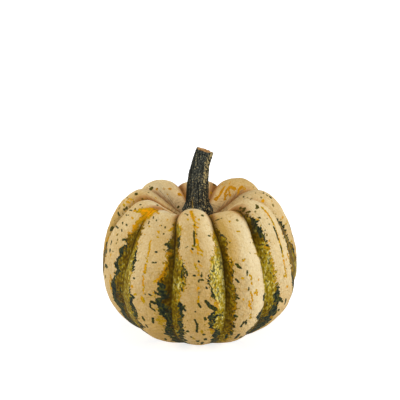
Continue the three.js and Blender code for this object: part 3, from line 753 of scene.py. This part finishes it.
def paint_rind(mesh, rind):
    """Stores what the rind's finish needs at each vertex."""
    places = places_on(mesh)
    ribs = np.floor(places[:, 0]).astype(int) % len(RIBS)
    across = 2 * (places[:, 0] % 1) - 1
    down = places[:, 1]
    count = len(mesh.vertices)
    fields = {name: np.full(count, FAR) for name in ("green", "dark", "gold")}
    for name in ("margin", "tone", "ripe_and_lit", "crease"):
        fields[name] = np.zeros(count)
    marks = all_marks()
    band_sides = all_band_sides()
    for number, name in enumerate(RIBS):
        for side, stations in zip((-1, 1), band_sides[name]):
            here = (ribs == number) & (across * side >= 0)
            downs, edges, margins, tones = zip(*stations)
            inside = np.abs(across[here]) - np.interp(down[here], downs, edges)
            fields["green"][here] = inside * rind.half_width(number, down[here])
            fields["margin"][here] = np.interp(down[here], downs, margins)
            fields["tone"][here] = np.interp(down[here], downs, tones)
            rib_before = name if side > 0 else RIBS[number - 1]
            crease = CREASES_BROWN_AND_SHADE.get(rib_before, PLAIN_CREASE_BROWN_AND_SHADE)
            fields["crease"][here] = np.interp(down[here], *zip(*crease))
        here = ribs == number
        fields["ripe_and_lit"][here] = ripeness_and_light(name, across[here], down[here])
        x, y = rind.spot(number, across[here], down[here])
        for colour, start_across, start_down, end_across, end_down, width in marks[name]:
            start = rind.spot(number, start_across, start_down)
            end = rind.spot(number, end_across, end_down)
            field = fields[colour]
            field[here] = np.maximum(field[here], stroke(x, y, start, end, width))
    for name, values in fields.items():
        store(mesh, name, np.clip(values, FAR, DEEP))


def rind_finish():
    finish = Finish("rind")
    whole = finish.whole()
    around, down, _ = finish.numbers_of(finish.map("places"))
    off_crest = abs(finish.math("FRACT", around) * 2.0 - 1.0)

    # Places on the skin, apart from rib to rib, and the same sheared so that a pattern slants up
    # from the grooves to the crests.
    x, y, _ = finish.numbers_of(finish.map("skin"))
    apart, slope = 37.0, 0.3
    rib = finish.math("FLOOR", around) * apart
    on_rib = finish.place(x, y, rib)
    slanted = finish.place(x, y - abs(x) * slope, rib)

    teeth = finish.noise(slanted, (3.6, 2.5, 1), detail=2, seed=3)
    shreds = finish.noise(slanted, (1.7, 1.3, 1), detail=2, seed=8)
    crumbs = finish.noise(whole, (1.1, 1.1, 1.3), detail=1, seed=2)
    flecks = finish.noise(whole, (1.2, 1.2, 1.7), detail=0, seed=5)
    patches = finish.noise(whole, (4, 4, 6), detail=2, seed=4)
    clouds = finish.noise(whole, (14, 14, 20), detail=2, seed=1)
    streaks = finish.noise(on_rib, (1.2, 9, 1), detail=2, seed=6)
    threads = finish.noise(on_rib, (0.9, 3.2, 1), detail=2, seed=7)
    pebbles = finish.noise(on_rib, (2.8, 1.9, 1), detail=1, seed=11)
    grit = finish.noise(slanted, (0.9, 1.7, 1), detail=1, seed=12)

    # The ground: tan to pale cream, with painted light and shade in its ripeness, orange-brown between the
    # shoulders and brown in the hollow.
    ripe_and_lit = finish.attribute("ripe_and_lit") + clouds * 0.1 + streaks * 0.04
    ripe_and_lit = ripe_and_lit + crumbs * 0.1 + patches * 0.06 + grit * 0.1
    cream = finish.ramp(ripe_and_lit, [
        (0.0, tint(197, 158, 80)), (0.25, tint(211, 174, 105)), (0.5, tint(223, 192, 134)),
        (0.75, tint(234, 209, 156)), (1.0, tint(243, 222, 177)),
    ])
    blush = pebbles.fade(0.0, 0.9) * down.fade(0.35, 0.5)
    peach = down.fade(0.2, 0.1)
    between = off_crest.fade(0.5, 0.95) * down.fade(0.29, 0.2)
    hollow = (down + patches * 0.008).fade(0.14, 0.075)
    rings = finish.noise(slanted, (14, 1.0, 1), detail=2, seed=9)
    lined = hollow * rings.fade(0.1, 0.6)
    furrows = finish.noise(on_rib, (0.8, 14, 1), detail=2, seed=10)
    furrowed = furrows.fade(0.0, 0.7) * down.fade(0.25, 0.15) * off_crest.fade(0.15, 0.6)

    # Faint yellow lines run down the ribs, and small gold and olive freckles lie all over them.
    lines = (streaks + patches * 0.4).fade(0.75, 1.3)
    spread = {"Vector": finish.stretched(whole, (3.8, 3.8, 5.0)), "Scale": 1.0}
    freckle = finish.node("TexVoronoi", spread)
    sizes, kinds, _ = finish.numbers_of(freckle.outputs["Color"], "Color")
    radius = sizes.fade(0.45, 1.0) * 0.24
    freckles = (radius - freckle.outputs["Distance"]).fade(-0.04, 0.03)
    spotted = finish.coats(tint(208, 152, 12), (kinds.fade(0.6, 0.64), tint(108, 92, 16)))

    ground_and_light = finish.coats(
        cream,
        (blush * 0.22, tint(216, 164, 106)),
        (peach * 0.5, tint(238, 190, 118)),
        (between * 0.8, tint(176, 104, 34)),
        (hollow * 0.3, tint(200, 156, 98)),
        (lined * 0.4, tint(112, 88, 62)),
        (furrowed * 0.6, tint(132, 104, 78)),
        (lines * 0.35, tint(208, 162, 62)),
        (freckles * 0.85, spotted),
    )

    # The green bands, with their ragged edges.
    reach = finish.attribute("green") + teeth * 1.4
    inside = reach + shreds * 0.7
    band = inside.fade(-0.2, 0.2)
    tone = finish.attribute("tone") + flecks * 0.13 + (threads * 0.07 + patches * 0.2)
    olive = finish.ramp(tone, [
        (0.0, tint(64, 44, 0)), (0.2, tint(92, 68, 0)), (0.4, tint(126, 99, 3)),
        (0.6, tint(156, 130, 10)), (0.8, tint(192, 164, 26)), (1.0, tint(238, 216, 104)),
    ])
    blackish = finish.ramp(0.5 + flecks * 0.5, [
        (0.0, tint(28, 36, 24)), (0.5, tint(46, 55, 40)), (1.0, tint(80, 80, 30)),
    ])

    # Pale, gold and dark specks lie in the bands, and a blue-green net lies over the pale parts.
    pale = finish.noise(on_rib, (1.1, 2.2, 1), detail=0, seed=21)
    pale = pale.fade(0.35, 0.7) * tone.fade(0.4, 0.85)
    palest = finish.noise(on_rib, (2.0, 4.5, 1), detail=1, seed=22)
    palest = palest.fade(0.1, 0.5) * tone.fade(0.66, 0.84)
    net = abs(finish.noise(slanted, (3.2, 6, 1), detail=1, seed=23))
    net = net.fade(0.2, 0.08) * tone.fade(0.68, 0.88)
    gilt = finish.noise(on_rib, (1.2, 2.0, 1), detail=0, seed=31)
    gilt = gilt.fade(0.35, 0.7) * inside.fade(5.0, 1.0)
    dim = finish.noise(on_rib, (1.2, 2.2, 1), detail=1, seed=41)
    dim = (dim + patches * 0.5).fade(0.5, 0.8) * off_crest.fade(1.0, 0.85)

    # Where a band has a dark margin its edge is nearly black, and elsewhere it is gold.
    raggedness = 1.0 + (shreds * 0.5 + patches * 0.5)
    margin = finish.attribute("margin")
    has_margin = margin.fade(0.2, 1.0)
    fringe = inside.fade(2.4, 0.2) * crumbs.fade(-0.3, 0.4) * (1.0 - has_margin * 0.7)
    edging = (margin * raggedness - inside).fade(-0.1, 0.5)

    banded = finish.coats(
        olive,
        (pale * 0.6, tint(236, 222, 140)),
        (palest * 0.7, tint(244, 232, 158)),
        (net * 0.8, tint(64, 78, 52)),
        (gilt * 0.7, tint(206, 144, 2)),
        (dim * 0.75, blackish),
        (fringe * 0.8, tint(208, 150, 10)),
        (edging * has_margin, blackish),
        (freckles * 0.6, tint(186, 168, 76)),
    )

    # Loose flecks of gold and olive lie off the bands' edges.
    gold = finish.coats(
        tint(220, 152, 0),
        (patches.fade(-0.6, 0.6), tint(200, 156, 4)),
        (down.fade(0.23, 0.19), tint(204, 138, 0)),
        (down.fade(0.54, 0.6), tint(184, 144, 22)),
    )
    loose = finish.noise(slanted, (1.5, 1.9, 1), detail=1, seed=15)
    loose = (loose + reach.fade(-4.5, -0.4)).fade(1.25, 1.55) * down.fade(0.17, 0.23)
    mixed = finish.coats(gold, (threads.fade(-0.1, 0.4), tint(116, 98, 12)))

    # The gold marks are brownish in places, and orange in the middle of the widest.
    mark = finish.attribute("gold") + shreds * 0.5
    gilded = (mark + crumbs * 0.2).fade(-0.15, 0.2)
    brownish = finish.coats(tint(150, 122, 10), (down.fade(0.23, 0.19), tint(160, 104, 0)))
    goldish = finish.coats(
        gold, (threads.fade(0.2, 0.8), brownish), (mark.fade(1.0, 2.2), tint(248, 164, 2))
    )
    darkened = (finish.attribute("dark") + shreds * 0.24).fade(-0.1, 0.2)
    darkish = finish.coats(
        blackish,
        (threads.fade(-0.2, 0.5), tint(74, 72, 10)),
        (down.fade(0.36, 0.29) * 0.85, tint(84, 74, 14)),
    )

    # The blossom scar is corky, and the creases are brown in their depth: partly the skin's own brown and
    # partly painted shade.
    scar = (down + crumbs * 0.002).fade(0.972, 0.978)
    corky = finish.coats(tint(128, 98, 62), (crumbs.fade(-0.5, 0.5), tint(176, 144, 100)))
    creased = finish.attribute("crease")
    # Beside each crease and along its bottom line the colour is darkened with brown: painted shade over the
    # skin's own brown.
    beside = off_crest.fade(0.7, 0.96) * creased
    crease = off_crest.fade(0.93, 0.995) * creased

    painted = finish.coats(
        ground_and_light,
        (loose * 0.9, mixed),
        (gilded, goldish),
        (band, banded),
        (gilded * band * 0.7, tint(206, 140, 2)),
        (darkened, darkish),
        (scar * 0.9, corky),
        (beside * 0.75, tint(84, 59, 0)),
        (crease, tint(50, 32, 0)),
    )

    # Fine wrinkles ring the stem, and the skin is faintly pebbled all over.
    wrinkles = rings * hollow * 0.25
    relief = 0.18 + down.fade(0.32, 0.5) * 0.16
    grain = (grit * 0.1 + patches * 0.1) + (pebbles * relief + wrinkles)
    normal = finish.bump(grain, strength=0.9)
    finish.set(base_color=painted, roughness=0.5 + patches * 0.04, normal=normal)
    finish.shader.inputs["Specular IOR Level"].default_value = 0.06
    return finish.material


# ---- The fruit ------------------------------------------------------------------------------

def lumps(name, size):
    texture = bpy.data.textures.new(name, "CLOUDS")
    texture.noise_scale = size
    texture.noise_depth = 1
    return texture


def swell_back_shoulders(fruit):
    """Ribs E and G stand a little prouder round the stem than the others."""
    middle_of_f = RIBS.index("F") + 0.5
    swelling = fruit.vertex_groups.new(name="back_shoulders")
    for number, (around, down) in enumerate(places_on(fruit.data)):
        round_it = np.interp(abs(around - middle_of_f), (0.3, 0.8, 1.2, 1.9), (0.2, 1, 1, 0))
        down_it = np.interp(down, (0.05, 0.13, 0.26, 0.42), (0, 1, 1, 0))
        if round_it * down_it > 0:
            swelling.add([number], round_it * down_it, "REPLACE")
    apply_modifier(
        fruit, "DISPLACE", strength=0.9 * MM, mid_level=0, vertex_group="back_shoulders"
    )


def raise_scar(fruit, blossom_end):
    """Raises the blossom scar's ring and the nub inside it, in the dimple underneath."""
    nub = (0.0, 0.7, 0.7)
    ring = (3.0, 4.3, 0.6)
    bpy.ops.object.mode_set(mode="EDIT")
    bpy.ops.mesh.select_mode(type="VERT")
    for inner, outer, rise in (nub, ring):
        bpy.ops.mesh.select_all(action="DESELECT")
        bpy.ops.object.mode_set(mode="OBJECT")
        for vertex in fruit.data.vertices:
            x, y, z = (vertex.co - Vector(blossom_end)) / MM
            in_dimple = abs(z) < 6
            vertex.select = in_dimple and inner <= math.hypot(x, y) < outer
        bpy.ops.object.mode_set(mode="EDIT")
        bpy.ops.transform.translate(value=(0, 0, -rise * MM))
    bpy.ops.object.mode_set(mode="OBJECT")


def make_fruit():
    fruit = copy_of_node("fruit", "fruit_skin")
    grid = Grid(fruit.data)
    rind = RindGrid(grid)
    grid.make_quads(fruit)
    rind.map_onto(fruit.data)
    apply_modifier(fruit, "SUBSURF", levels=1, render_levels=1)
    add_rings(fruit, 0.22, 0.68)
    apply_modifier(fruit, "SUBSURF", levels=1, render_levels=1)

    # Low lumps all over, which fade out where the fruit rests on the floor.
    off_floor = fruit.vertex_groups.new(name="off_floor")
    smooth_below, lumpy_above = 0.5, 6.5
    for vertex in fruit.data.vertices:
        share = (vertex.co.z / MM - smooth_below) / (lumpy_above - smooth_below)
        weight = min(max(share, 0), 1)
        off_floor.add([vertex.index], weight, "REPLACE")
    for size, height in ((16, 1.2), (5, 0.5)):
        apply_modifier(
            fruit, "DISPLACE", texture=lumps("lumps", size * MM), texture_coords="LOCAL",
            strength=height * MM, mid_level=0.5, vertex_group="off_floor",
        )
    swell_back_shoulders(fruit)
    raise_scar(fruit, grid.points[grid.bottom])
    bpy.ops.object.shade_smooth()
    paint_rind(fruit.data, rind)
    fruit.data.materials.append(rind_finish())
    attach(fruit, "root")
    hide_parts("fruit")


# ---- The stem -------------------------------------------------------------------------------

def bark_finish():
    finish = Finish("stem_bark")
    whole = finish.whole()
    streaks = finish.noise(whole, (0.9, 0.9, 9.0), detail=2, seed=1)
    grains = finish.noise(whole, (0.6, 0.6, 0.9), detail=0, seed=2)
    patches = finish.noise(whole, (3.0, 3.0, 8.0), detail=2, seed=3)

    # Millimetres across from the stem's middle line, which bends towards +X above the foot.
    x, _, height = finish.numbers_of(whole)
    foot_top = 89.0
    bent = finish.math("MAXIMUM", (height - foot_top) * 0.037, 0.0)
    across = x - (bent * bent * 4.5 - 1.2)

    tone = 0.42 + (streaks * 0.32 + grains * 0.24)
    bark = finish.ramp(tone, [
        (0.0, tint(16, 18, 10)), (0.35, tint(53, 56, 49)), (0.65, tint(94, 96, 84)),
        (1.0, tint(158, 152, 118)),
    ])

    # Tan, corky grains lie in rows along the ridges, most of all on the side that it leans to.
    upper = height.fade(92.0, 106.0)
    right = across.fade(0.9, 3.9) * (0.58 + upper * 0.46)
    left = across.fade(-2.6, -4.6) * 0.2
    corky = (streaks * 0.6 + grains * 0.9) + ((left + right) + patches * 0.3)

    # Its sides are the darkest, and one thin yellowish line runs up from its foot.
    over_foot = height.fade(80.0, 86.0)
    left_side = (across + upper * -0.6).fade(-4.4, -5.6)
    right_side = across.fade(4.4, 5.4) * (1.0 - upper)
    sides = (left_side + right_side) * (over_foot * 0.75)
    line = abs(across + 2.9).fade(0.5, 0.25) * height.fade(88.0, 84.0)

    # The cut end shows the pith.
    pith = finish.ramp(0.5 + patches * 0.5, [
        (0.0, tint(140, 82, 28)), (0.5, tint(196, 146, 84)), (1.0, tint(222, 184, 130)),
    ])
    painted = finish.coats(
        bark,
        (corky.fade(0.95, 1.6) * 0.8, tint(206, 182, 120)),
        (sides, tint(20, 22, 12)),
        (line * 0.7, tint(168, 138, 58)),
        (finish.attribute("cut"), pith),
    )
    normal = finish.bump(streaks * 0.25 + grains * 0.2, strength=0.7)
    finish.set(base_color=painted, normal=normal)
    finish.shader.inputs["Roughness"].default_value = 0.8
    finish.shader.inputs["Specular IOR Level"].default_value = 0.2
    return finish.material


def make_stem():
    stem = copy_of_node("stem", "stem_bark")
    grid = Grid(stem.data)
    cut_face = [grid.top, *grid.rings[0]]
    grid.make_quads(stem)
    cut = np.zeros(len(stem.data.vertices))
    cut[cut_face] = 1
    store(stem.data, "cut", cut)
    apply_modifier(stem, "SUBSURF", levels=3, render_levels=3)

    # Fine ridges are lumps stretched along the stem, and warts are lumps as they are.
    stretch = bpy.data.objects.new("stretch", None)
    stretch.scale = (1, 1, 5)
    bpy.context.scene.collection.objects.link(stretch)
    for size, height in ((1.6, 0.5), (0.9, 0.3)):
        apply_modifier(
            stem, "DISPLACE", texture=lumps("ridges", size * MM), texture_coords="OBJECT",
            texture_coords_object=stretch, strength=height * MM, mid_level=0.5,
        )
    bpy.data.objects.remove(stretch)
    apply_modifier(
        stem, "DISPLACE", texture=lumps("warts", 1.1 * MM), texture_coords="LOCAL",
        strength=0.3 * MM, mid_level=0.5,
    )
    bpy.ops.object.shade_smooth()
    stem.data.materials.append(bark_finish())
    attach(stem, "root")
    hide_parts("stem")


make_studio()
make_fruit()
make_stem()
